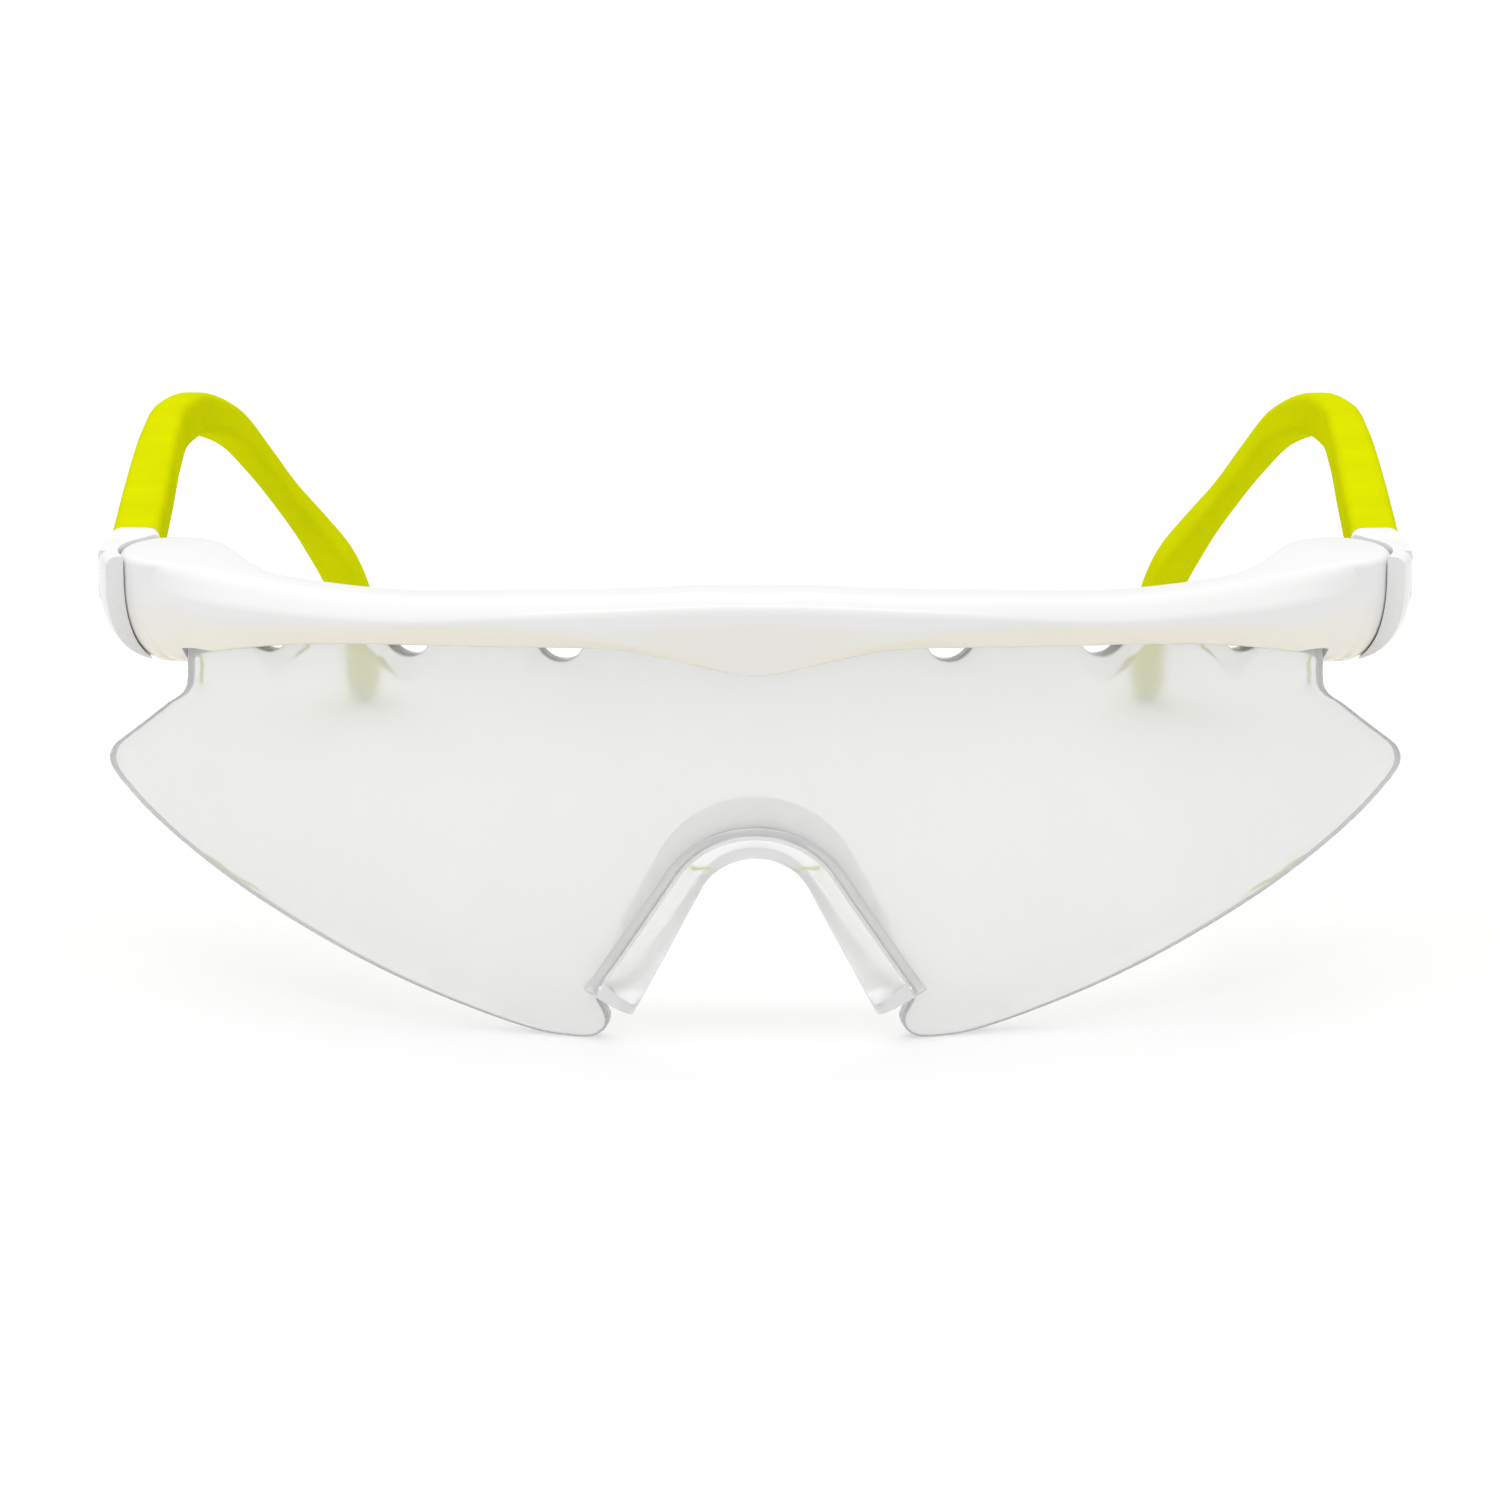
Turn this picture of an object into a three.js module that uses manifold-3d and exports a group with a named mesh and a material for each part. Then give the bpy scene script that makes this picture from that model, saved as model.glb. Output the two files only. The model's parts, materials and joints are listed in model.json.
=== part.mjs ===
// Sports protective goggles: a clear wraparound shield lens held by a white browbar,
// a soft clear nose pad, and two folding temples with wire-cored rubber arms and ear hooks.
// Millimetres. +X is to the right seen from the front, +Y points back to the wearer's head, +Z is up.
// The goggles stand on the two lower lobes of the lens and on the tips of the ear hooks.
// Inside this file y = 0 is the lens' foremost point; the finished group is moved to centre its length.

import * as THREE from 'three';
import { mergeVertices } from 'three/addons/utils/BufferGeometryUtils.js';
import Module from 'manifold-3d';

const wasm = await Module();
wasm.setup();

// ---- Driving dimensions ------------------------------------------------------------------------

const GAP = 0.3; // clearance between separate pieces
const CENTRE_BACK = 75; // middle of the whole length

// Lens: part of a torus, curved round the face and a little from top to bottom.
const LENS_PLAN_RADIUS = 96; // front surface, seen from above, at its fullest height
const LENS_UPRIGHT_RADIUS = 120; // front surface, seen from the side
const LENS_FULLEST = 33; // height where the front surface stands furthest out
const LENS_THICKNESS = 2.2;
const LENS_EDGE_X = 65.9; // upright side edge just below the browbar
const LENS_TOP = [[0, 49.8], [25, 49.8], [45, 48], [58, 45], [66, 41.6]]; // [out, height]
const VENT_RADIUS = 2.7;
const VENTS = [[21.9, 48.3], [39.4, 47.4], [56.2, 45.4]]; // middle of the round bottom, [out, height]

// Nose cut-out: a round arch on two straight sloping sides.
const NOSE_ARCH_RADIUS = 10.5;
const NOSE_ARCH_CENTRE = 15.6; // height
const NOSE_LEG_SLOPE = 58.2; // degrees from level
const NOSE_LEG_FOOT = 6.2; // height where the pad's legs end
const PAD_REACH = [2.7, 5]; // wall of the pad into the opening, at the arch and at the feet
const PAD_FLARE = [3.3, 2]; // rear edge of the pad away from the nose
const PAD_DEPTH = [6, 8.4]; // rear edge of the pad back from the lens front

// Browbar: heights of its edges as [distance out from the middle, height].
const BAR_FRONT_RADIUS = 98.2;
const BAR_BACK_RADIUS = 90.2;
const BAR_CREST = 54.3; // level top in the middle of the bar
const BAR_TOP_EDGE = [[0, 54.5], [5, 54.4], [12, 53.9], [28, 52.8], [44, 51.3], [58, 50.8], [70, 50.8]];
const BAR_CREASE = [[0, 53], [5, 52.9], [12, 52.5], [28, 51.1], [40, 49.6], [50, 48.8], [70, 47.2]];
const BAR_CHIN_EDGE = [[0, 45.6], [10.5, 47.9], [18, 49.1], [29, 49.6], [44, 47.9], [55, 46.4], [70, 43]];
const BAR_LOWER_EDGE = [
  [0, 44.9], [7, 46.1], [14.5, 47.5], [22, 47.5], [38, 46.4], [50, 45], [61, 42.3], [70, 38.4],
];
const BAR_CHIN_SETBACK = 1.6;

// Hinge: an upright axis through the fork at each end of the browbar.
const HINGE_X = 67.5;
const HINGE_Y = 34;
const HINGE_REACH = Math.hypot(HINGE_X, LENS_PLAN_RADIUS - HINGE_Y); // from the lens' upright axis
const END_TOP = 50.8;
const END_BOTTOM = 38;
const END_SHOULDER = 47; // the round ends are straight above this height
const BARREL_FOOT = [2.9, [6.4, 40.3]]; // radius at the bottom, then the corner that the round turns at
const SHELL_FOOT = [3.4, [8.9, 39.8]];
const BARREL_RADIUS = 6.6;
const SHELL_RADIUS = 9;
const FORK_LOW = 41.2; // the slot that the knuckle turns in
const FORK_HIGH = 48;
const KNUCKLE_RADIUS = 4.3;
const SCREW_RADIUS = 0.85;
const SCREW_HEAD_RADIUS = 1.6;
const SCREW_HEAD_TOP = 39.4;
const SCREW_TOP = 49.7;
const INSERT_RADIUS = 1.75;
const FORK_OPEN = [-12, 176]; // degrees from straight outwards, growing towards the back
const SHELL_SPAN = [-30, 64];
const WEB_SPAN = [26, 64];

// Temple arm: a straight rubber arm that bends down into the ear hook.
const ARM_X = 73;
const ARM_Z = 48.2;
const ARM_START = 42.3;
const ARM_WIDTH = 5.7;
const ARM_HEIGHT = 6.2;
const ARM_WIDTHS = [ // [part of the way along, width]
  [0, ARM_WIDTH], [0.1, 5.5], [0.2, 4.9], [0.45, 4], [0.62, 3.3], [0.7, 3.7], [0.8, 4.7], [1, 4.7],
];
const ARM_HEIGHTS = [[0, ARM_HEIGHT], [0.22, 6.2], [0.45, 5], [0.62, 4.5], [0.85, 5.4], [1, 5]];
const ARM_CORNER = 1.6;
const SPIGOT_WIDTH = 2.6;
const SPIGOT_HEIGHT = 3.8;
const SPIGOT_END = 60;
const WIRE_RADIUS = 0.7;
const ARM_PATH = [ // centre line, [out, back, up]
  [ARM_X, ARM_START, ARM_Z], [74.1, 72, 48.3], [74.8, 95, 48.3], [74.5, 108, 48.3], [72.2, 117, 47.6],
  [68.6, 122.4, 44.6], [65.4, 127.4, 39.2], [62.1, 131.6, 33.2], [58.7, 135.2, 27.4], [55.5, 139.2, 20.8],
  [53.7, 144.4, 12.4], [53.9, 151.2, 0.7],
];
const ARM_STATIONS = [0, 0.09, 0.18, ...spread(0.27, 0.97, 16), 0.988, 1];
const WIRE_STATIONS = [0.05, 0.09, 0.18, ...spread(0.27, 0.94, 15)];

// ---- Geometry helpers --------------------------------------------------------------------------

/** Evenly spaced numbers from first to last. */
function spread(first, last, count) {
  return Array.from({ length: count + 1 }, (_, i) => first + ((last - first) * i) / count);
}

/** A closed three.js geometry as a solid that can be joined and cut. */
function solid(geometry) {
  const bare = geometry.clone();
  bare.deleteAttribute('normal');
  bare.deleteAttribute('uv');
  const merged = mergeVertices(bare, 1e-4);
  const position = merged.attributes.position.array;
  const index = merged.index.array;
  const corner = (i) => new THREE.Vector3().fromArray(position, index[i] * 3);
  const triangles = [];
  let volume = 0;
  for (let i = 0; i < index.length; i += 3) {
    const triangle = [index[i], index[i + 1], index[i + 2]];
    if (new Set(triangle).size < 3) continue;
    triangles.push(triangle);
    volume += corner(i).dot(corner(i + 1).cross(corner(i + 2)));
  }
  if (volume < 0) triangles.forEach((triangle) => triangle.reverse());
  return new wasm.Manifold(new wasm.Mesh({
    numProp: 3,
    vertProperties: new Float32Array(position),
    triVerts: new Uint32Array(triangles.flat()),
  }));
}

/** A solid as a three.js geometry. */
function geometryOf(shape) {
  const mesh = shape.getMesh();
  const geometry = new THREE.BufferGeometry();
  geometry.setAttribute('position', new THREE.BufferAttribute(new Float32Array(mesh.vertProperties), 3));
  geometry.setIndex(new THREE.BufferAttribute(new Uint32Array(mesh.triVerts), 1));
  geometry.computeVertexNormals();
  return geometry;
}

/** Triangles that fill a flat ring, counter-clockwise about the ring's own normal. */
function capFaces(ring) {
  const normal = new THREE.Vector3();
  ring.forEach((point, i) => normal.add(point.clone().cross(ring[(i + 1) % ring.length])));
  normal.normalize();
  const across = ring[1].clone().sub(ring[0]).normalize();
  const up = normal.clone().cross(across);
  const flat = ring.map((point) => new THREE.Vector2(point.dot(across), point.dot(up)));
  return THREE.ShapeUtils.triangulateShape(flat, []);
}

/** Solid skinned through a row of rings of points, closed by a flat cap at each end. */
function loft(rings) {
  const count = rings[0].length;
  const last = (rings.length - 1) * count;
  const index = [];
  for (let start = 0; start < last; start += count) {
    for (let j = 0; j < count; j += 1) {
      const [a, b] = [start + j, start + ((j + 1) % count)];
      index.push(a, b, b + count, a, b + count, a + count);
    }
  }
  for (const [a, b, c] of capFaces(rings[0])) index.push(c, b, a);
  for (const [a, b, c] of capFaces(rings[rings.length - 1])) index.push(a + last, b + last, c + last);
  const geometry = new THREE.BufferGeometry().setFromPoints(rings.flat());
  geometry.setIndex(index);
  return solid(geometry);
}

/** Solid turned about an upright axis, from its profile of [radius, height] points. */
function turned(profile, x, y, segments) {
  const points = profile.map(([radius, height]) => new THREE.Vector2(radius, height));
  const lathe = new THREE.LatheGeometry(points, segments);
  lathe.rotateX(Math.PI / 2);
  lathe.translate(x, y, 0);
  return solid(lathe);
}

/** Plain upright cylinder between two heights. */
function post(radius, low, high, x, y, segments = 20) {
  return turned([[0, low], [radius, low], [radius, high], [0, high]], x, y, segments);
}

/** Outline seen from above, raised between two heights. */
function raised(shape, low, high) {
  const block = new THREE.ExtrudeGeometry(shape, { depth: high - low, bevelEnabled: false });
  block.translate(0, 0, low);
  return solid(block);
}

/** Outline seen from the front as (out, up), pushed right through from front to back. */
function pushedBack(shape) {
  const [front, back] = [-10, 70];
  const settings = { depth: back - front, bevelEnabled: false, curveSegments: 8 };
  const block = new THREE.ExtrudeGeometry(shape, settings);
  block.rotateX(Math.PI / 2);
  block.translate(0, back, 0);
  return solid(block);
}

/** Outline seen from the side as (back, up), pushed right across. */
function pushedAcross(shape) {
  const width = 200;
  const block = new THREE.ExtrudeGeometry(shape, { depth: width, bevelEnabled: false, curveSegments: 6 });
  block.rotateX(Math.PI / 2);
  block.rotateZ(Math.PI / 2);
  block.translate(-width / 2, 0, 0);
  return solid(block);
}

/** Smooth curve through [distance, value] pairs, the same on both sides of zero. */
function evenCurve(pairs) {
  const last = pairs.length - 1;
  const slope = (i) => {
    if (i === 0) return 0;
    const [a, b] = [pairs[i - 1], pairs[Math.min(i + 1, last)]];
    return (b[1] - a[1]) / (b[0] - a[0]);
  };
  return (x) => {
    const far = Math.min(Math.abs(x), pairs[last][0]);
    let i = 0;
    while (i < last - 1 && far > pairs[i + 1][0]) i += 1;
    const width = pairs[i + 1][0] - pairs[i][0];
    const t = (far - pairs[i][0]) / width;
    const rise = pairs[i + 1][1] - pairs[i][1];
    const lean = slope(i) * (1 - t) - slope(i + 1) * t;
    return pairs[i][1] + rise * t * t * (3 - 2 * t) + width * t * (1 - t) * lean;
  };
}

/** Rounded rectangle as points about the origin, counter-clockwise. */
function roundedBox(width, height, radius) {
  const points = [];
  for (let quarter = 0; quarter < 4; quarter += 1) {
    const x = (width / 2 - radius) * (quarter === 0 || quarter === 3 ? 1 : -1);
    const y = (height / 2 - radius) * (quarter < 2 ? 1 : -1);
    for (const part of [0, 0.5, 1]) {
      const angle = ((quarter + part) * Math.PI) / 2;
      points.push([x + radius * Math.cos(angle), y + radius * Math.sin(angle)]);
    }
  }
  return points;
}

// ---- Lens --------------------------------------------------------------------------------------

/** Distance of the lens' front surface from its upright axis at one height. */
function lensRadius(height, extra = 0) {
  const rise = height - LENS_FULLEST;
  return LENS_PLAN_RADIUS - LENS_UPRIGHT_RADIUS + Math.sqrt((LENS_UPRIGHT_RADIUS + extra) ** 2 - rise ** 2);
}

/** Whole ring of lens material, with extra added on its front and back surfaces. */
function lensRing(extra) {
  const heights = spread(-4, 56, 7);
  const outside = heights.map((height) => [lensRadius(height, extra), height]);
  const inside = heights.map((height) => [lensRadius(height, -LENS_THICKNESS - extra), height]).reverse();
  return turned([...outside, ...inside, outside[0]], 0, LENS_PLAN_RADIUS, 96);
}

/** Edge of the nose cut-out on the left side, from the foot of its leg to the top of the arch. */
function noseEdge(archSteps) {
  const slope = THREE.MathUtils.degToRad(NOSE_LEG_SLOPE);
  const points = spread(Math.PI / 2 + slope, Math.PI / 2, archSteps).map((angle) => [
    NOSE_ARCH_RADIUS * Math.cos(angle),
    NOSE_ARCH_CENTRE + NOSE_ARCH_RADIUS * Math.sin(angle),
  ]);
  const [x, height] = points[0];
  points.unshift([x - (height - NOSE_LEG_FOOT) / Math.tan(slope), NOSE_LEG_FOOT]);
  return points;
}

/** Left half of the lens outline, from the top of the nose arch round to the middle of the top edge. */
function lensHalfOutline() {
  const lowerEdge = new THREE.SplineCurve([
    [-20.6, 0], [-24.7, 0.3], [-34, 2.8], [-43.3, 5.9],
    [-52.8, 9.7], [-62.5, 14.1], [-71.6, 19.2], [-75.8, 22.4],
  ].map(([x, height]) => new THREE.Vector2(x, height)));
  const top = evenCurve(LENS_TOP);
  return [
    ...noseEdge(6).reverse(),
    [-17.5, 4], [-16.9, 2.6], [-17.2, 1.3], [-18.4, 0.4], // small step under the foot of the nose pad
    ...lowerEdge.getPoints(14).map((point) => [point.x, point.y]),
    [-76.6, 24], [-76.1, 25.8], [-68.6, 33.6], [-66.6, 35.5], [-LENS_EDGE_X, 37.2], // wing
    ...spread(-LENS_EDGE_X, -7, 8).map((x) => [x, top(x)]),
  ];
}

/** U-shaped vent notch that runs out through the top edge of the lens. */
function vent(x, height) {
  const outline = new THREE.Shape();
  outline.moveTo(x + VENT_RADIUS, BAR_CREST);
  outline.lineTo(x - VENT_RADIUS, BAR_CREST);
  outline.lineTo(x - VENT_RADIUS, height);
  outline.absarc(x, height, VENT_RADIUS, Math.PI, 2 * Math.PI, false);
  return pushedBack(outline);
}

function lens() {
  const left = lensHalfOutline();
  const right = left.slice(1).reverse().map(([x, height]) => [-x, height]);
  const outline = new THREE.Shape([...left, ...right].map(([x, height]) => new THREE.Vector2(x, height)));
  let body = lensRing(0).intersect(pushedBack(outline));
  for (const [x, height] of VENTS) {
    for (const side of [-1, 1]) body = body.subtract(vent(side * x, height));
  }
  return body;
}

// ---- Nose pad ----------------------------------------------------------------------------------

/**
 * Section of the pad as [into the opening, back from the lens front] points: a groove over the lens
 * edge, and a wall that leans away from the nose towards the back.
 */
function nosePadSection(reach, flare, depth) {
  const rearLip = LENS_THICKNESS + GAP;
  return [
    [-1.3, -1.5], [reach * 0.6, -1.5], [reach, -0.6], [reach, rearLip],
    [reach * 0.45, depth * 0.62], [-flare * 0.4, depth * 0.92], [-flare, depth], [-flare, depth - 1.1],
    [-flare * 0.4, depth * 0.92 - 1.4], [-1.2, rearLip + 1.1], [-1.2, rearLip], [GAP, rearLip],
    [GAP, -GAP], [-1.3, -GAP],
  ];
}

function nosePad() {
  const edge = noseEdge(5);
  const foot = edge[0];
  const [legTopX, legTopZ] = edge[1];
  const along = (t) => [foot[0] + (legTopX - foot[0]) * t, foot[1] + (legTopZ - foot[1]) * t];
  edge.splice(1, 0, along(0.33), along(0.67));
  const line = [...edge, ...edge.slice(0, -1).reverse().map(([x, height]) => [-x, height])];
  const slope = THREE.MathUtils.degToRad(NOSE_LEG_SLOPE);
  const archTop = NOSE_ARCH_RADIUS + NOSE_ARCH_CENTRE;
  const rings = line.map(([x, height]) => {
    const lean = Math.abs(x) < Math.abs(legTopX) ? Math.asin(x / NOSE_ARCH_RADIUS) : Math.sign(x) * slope;
    const leg = (archTop - height) / (archTop - NOSE_LEG_FOOT);
    const section = nosePadSection(
      PAD_REACH[0] + (PAD_REACH[1] - PAD_REACH[0]) * leg,
      PAD_FLARE[0] + (PAD_FLARE[1] - PAD_FLARE[0]) * leg,
      PAD_DEPTH[0] + (PAD_DEPTH[1] - PAD_DEPTH[0]) * leg,
    );
    return section.map(([into, back]) => {
      const out = x - into * Math.sin(lean);
      const up = height - into * Math.cos(lean);
      const angle = Math.asin(out / lensRadius(up));
      const radius = lensRadius(up) - back;
      return new THREE.Vector3(radius * Math.sin(angle), LENS_PLAN_RADIUS - radius * Math.cos(angle), up);
    });
  });
  return loft(rings);
}

// ---- Browbar -----------------------------------------------------------------------------------

/** Section of the bar at one angle from the middle, as [radius, height] points. */
function barSection(angle) {
  const out = BAR_FRONT_RADIUS * Math.sin(angle);
  const lower = evenCurve(BAR_LOWER_EDGE)(out);
  const top = Math.min(evenCurve(BAR_TOP_EDGE)(out), BAR_CREST);
  const chin = evenCurve(BAR_CHIN_EDGE)(out);
  const crease = evenCurve(BAR_CREASE)(out);
  const beak = 1 - THREE.MathUtils.smoothstep(Math.abs(out), 0, 20);
  return [
    [BAR_BACK_RADIUS + 0.8, lower],
    [BAR_FRONT_RADIUS - BAR_CHIN_SETBACK, lower],
    [BAR_FRONT_RADIUS - BAR_CHIN_SETBACK * beak, chin],
    [BAR_FRONT_RADIUS + 0.2, chin + (crease - chin) * (0.5 + 0.3 * beak)],
    [BAR_FRONT_RADIUS, crease],
    [BAR_FRONT_RADIUS - 0.6 - 0.75 * (top - crease), top],
    [BAR_BACK_RADIUS + 1.2, top],
    [BAR_BACK_RADIUS, top - 1.2],
    [BAR_BACK_RADIUS, lower + 0.8],
  ];
}

/** The section that the bar runs out to at the hinge: an upright slice of the round end. */
const BAR_END_SECTION = [
  [-2.9, END_BOTTOM], [2.9, END_BOTTOM], [5.4, 41.3], [6.3, 44.2], [BARREL_RADIUS, END_SHOULDER],
  [BARREL_RADIUS - 1, END_TOP], [1 - BARREL_RADIUS, END_TOP], [-BARREL_RADIUS, END_TOP - 1], [-5.4, 41.3],
].map(([radius, height]) => [HINGE_REACH + radius, height]);

function barRing(angle, end) {
  const blend = THREE.MathUtils.smoothstep(Math.abs(angle), end * 0.89, end);
  const widening = THREE.MathUtils.smoothstep(Math.abs(angle), end * 0.76, end);
  return barSection(angle).map(([radius, height], i) => {
    const [endRadius, endHeight] = BAR_END_SECTION[i];
    const r = THREE.MathUtils.lerp(radius, endRadius, widening);
    const z = THREE.MathUtils.lerp(height, endHeight, blend);
    return new THREE.Vector3(r * Math.sin(angle), LENS_PLAN_RADIUS - r * Math.cos(angle), z);
  });
}

/** Profile of a round end about the hinge axis, with its bottom corner well rounded. */
function endProfile(radius, [foot, control], extra = 0) {
  const corner = new THREE.QuadraticBezierCurve(
    new THREE.Vector2(foot, END_BOTTOM),
    new THREE.Vector2(...control),
    new THREE.Vector2(radius, END_SHOULDER),
  );
  return [
    [0, END_BOTTOM - extra],
    ...corner.getPoints(6).map((point, i) => [point.x + extra, point.y - extra * (1 - i / 6)]),
    [radius + extra, END_TOP - 1 + extra],
    [radius + extra - 1, END_TOP + extra],
    [0, END_TOP + extra],
  ];
}

function barrel(side, extra = 0) {
  return turned(endProfile(BARREL_RADIUS, BARREL_FOOT, extra), side * HINGE_X, HINGE_Y, 32);
}

/** Pie-shaped outline about a hinge. Degrees from straight outwards, growing towards the back. */
function wedge(side, from, to) {
  const reach = 30;
  const points = spread(from, to, 12).map(THREE.MathUtils.degToRad).map((angle) => new THREE.Vector2(
    side * (HINGE_X + reach * Math.cos(angle)),
    HINGE_Y + reach * Math.sin(angle),
  ));
  return new THREE.Shape([new THREE.Vector2(side * HINGE_X, HINGE_Y), ...points]);
}

/** Slot in the underside of the bar that the top of the lens sits in. */
function lensSlot() {
  const top = evenCurve(LENS_TOP);
  const edge = LENS_EDGE_X + GAP;
  const roof = [...spread(-edge, -7, 8), ...spread(7, edge, 8)].map((x) => [x, top(x) + GAP]);
  const outline = [[edge, 30], [-edge, 30], ...roof];
  const shape = new THREE.Shape(outline.map(([x, height]) => new THREE.Vector2(x, height)));
  return lensRing(GAP).intersect(pushedBack(shape));
}

function browbar() {
  const end = Math.asin(HINGE_X / HINGE_REACH);
  const bar = loft(spread(end, -end, 38).map((angle) => barRing(angle, end)));
  let body = bar.add(barrel(-1)).add(barrel(1)).subtract(lensSlot());
  for (const side of [-1, 1]) {
    const at = [side * HINGE_X, HINGE_Y];
    body = body.subtract(post(KNUCKLE_RADIUS + GAP, FORK_LOW, FORK_HIGH, ...at));
    body = body.subtract(raised(wedge(side, ...FORK_OPEN), FORK_LOW, FORK_HIGH));
    body = body.subtract(post(SCREW_RADIUS + GAP, END_BOTTOM - 1, SCREW_TOP + GAP, ...at, 12));
    body = body.subtract(post(SCREW_HEAD_RADIUS + GAP, END_BOTTOM - 1, SCREW_HEAD_TOP + GAP, ...at, 16));
    body = body.subtract(post(INSERT_RADIUS + GAP, FORK_HIGH - 1, SCREW_TOP + GAP, ...at, 16));
  }
  return body;
}

/** Screw put in from below: slotted head in the lower ear, shank up to the insert in the upper ear. */
function hingeScrew(side) {
  const profile = [
    [0, END_BOTTOM + 0.3], [SCREW_HEAD_RADIUS - 0.3, END_BOTTOM + 0.3],
    [SCREW_HEAD_RADIUS, END_BOTTOM + 0.6],
    [SCREW_HEAD_RADIUS, SCREW_HEAD_TOP], [SCREW_RADIUS, SCREW_HEAD_TOP], [SCREW_RADIUS, SCREW_TOP - 0.3],
    [SCREW_RADIUS - 0.3, SCREW_TOP], [0, SCREW_TOP],
  ];
  const slot = new THREE.BoxGeometry(4, 0.5, 1);
  slot.translate(side * HINGE_X, HINGE_Y, END_BOTTOM + 0.3);
  return turned(profile, side * HINGE_X, HINGE_Y, 16).subtract(solid(slot));
}

/** Threaded insert held in the upper ear. */
function screwInsert(side) {
  const [inner, low, high] = [SCREW_RADIUS + GAP, FORK_HIGH + 0.2, SCREW_TOP];
  const profile = [[inner, low], [INSERT_RADIUS, low], [INSERT_RADIUS, high], [inner, high], [inner, low]];
  return turned(profile, side * HINGE_X, HINGE_Y, 16);
}

// ---- Temples -----------------------------------------------------------------------------------

/** Solid that carries the shell back to the arm. */
function armStub(side) {
  const stations = [[33, 7, 7.4], [37.5, 6.6, 7], [40.2, 6, 6.5], [ARM_START - GAP, ARM_WIDTH, ARM_HEIGHT]];
  return loft(stations.map(([back, width, height]) => roundedBox(width, height, ARM_CORNER).map(
    ([a, b]) => new THREE.Vector3(side * ARM_X + a, back, ARM_Z + b - (height - ARM_HEIGHT) / 4),
  )));
}

/** Side view of the hinge end: full height at the front, drawn in to the arm at the back. */
function hingeEndSideView() {
  const back = ARM_START - GAP;
  const shape = new THREE.Shape();
  shape.moveTo(20, END_TOP);
  shape.lineTo(20, END_BOTTOM - 1);
  shape.lineTo(33, END_BOTTOM - 1);
  shape.quadraticCurveTo(38, 38.8, 40.6, 44);
  shape.lineTo(back, ARM_Z - ARM_HEIGHT / 2);
  shape.lineTo(back, ARM_Z + ARM_HEIGHT / 2);
  shape.lineTo(39, END_TOP);
  return shape;
}

/** Straight length of a rounded bar along the front of the arm. */
function armBlock(side, width, height, from, to) {
  const radius = 0.32 * width;
  return loft([from, to].map((back) => roundedBox(width, height, radius).map(
    ([a, b]) => new THREE.Vector3(side * ARM_X + a, back, ARM_Z + b),
  )));
}

/** White front end of a temple: knuckle, shell round the bar's end, and a spigot inside the arm. */
function hingeEnd(side) {
  const at = [side * HINGE_X, HINGE_Y];
  const turning = [FORK_LOW + GAP, FORK_HIGH - GAP];
  const shell = turned(endProfile(SHELL_RADIUS, SHELL_FOOT), ...at, 36)
    .intersect(raised(wedge(side, ...SHELL_SPAN), 30, 60))
    .add(armStub(side))
    .subtract(barrel(side, GAP))
    .subtract(post(BARREL_RADIUS + GAP, END_SHOULDER, 60, ...at, 32))
    .intersect(pushedAcross(hingeEndSideView()));
  const web = post(SHELL_RADIUS - 1, ...turning, ...at, 32)
    .intersect(raised(wedge(side, ...WEB_SPAN), 30, 60));
  return shell.add(web)
    .add(post(KNUCKLE_RADIUS, ...turning, ...at))
    .subtract(post(SCREW_RADIUS + GAP, END_BOTTOM, END_TOP, ...at, 12))
    .add(armBlock(side, SPIGOT_WIDTH, SPIGOT_HEIGHT, ARM_START - 1, SPIGOT_END))
    .subtract(wire(side, GAP));
}

/** Rings of a section carried along the arm's centre line. */
function armRings(side, stations, section) {
  const path = new THREE.CatmullRomCurve3(ARM_PATH.map(([x, y, z]) => new THREE.Vector3(side * x, y, z)));
  return stations.map((t) => {
    const centre = path.getPoint(t);
    const along = path.getTangent(t);
    const thin = new THREE.Vector3(1, 0, 0).addScaledVector(along, -along.x).normalize();
    const tall = thin.clone().cross(along);
    return section(t).map(([a, b]) => centre.clone().addScaledVector(thin, a).addScaledVector(tall, b));
  });
}

/** Section of the arm: slimmer in the hook, a little wider at the paddle, rounded off at the tip. */
function armSection(t) {
  const width = evenCurve(ARM_WIDTHS);
  const height = evenCurve(ARM_HEIGHTS);
  const tip = 1 - 0.45 * THREE.MathUtils.smoothstep(t, 0.96, 1);
  return roundedBox(width(t) * tip, height(t) * tip, ARM_CORNER * tip);
}

function templeSleeve(side) {
  const [width, height] = [SPIGOT_WIDTH + 2 * GAP, SPIGOT_HEIGHT + 2 * GAP];
  const cavity = armBlock(side, width, height, ARM_START - 1, SPIGOT_END + 0.5);
  return loft(armRings(side, ARM_STATIONS, armSection)).subtract(cavity).subtract(wire(side, GAP));
}

/** Core wire, grown by extra: bare it is the wire, grown it is the channel that the wire lies in. */
function wire(side, extra) {
  const radius = WIRE_RADIUS + extra;
  const circle = spread(0, 2 * Math.PI, 8).slice(0, 8).map((angle) => [
    radius * Math.cos(angle),
    radius * Math.sin(angle),
  ]);
  const margin = extra / 100;
  const stations = [0.014 - margin, ...WIRE_STATIONS, 0.943 + margin];
  return loft(armRings(side, stations, () => circle));
}

// ---- Materials and the finished group ----------------------------------------------------------

const gloss = (color) => new THREE.MeshStandardMaterial({ color, roughness: 0.2, metalness: 0 });
const rubber = (color) => new THREE.MeshStandardMaterial({ color, roughness: 0.55, metalness: 0 });
const metal = (color) => new THREE.MeshStandardMaterial({ color, roughness: 0.35, metalness: 1 });
const clear = (color, roughness) => new THREE.MeshStandardMaterial({
  color, roughness, metalness: 0, transparent: true, opacity: 0.35,
});

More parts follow.
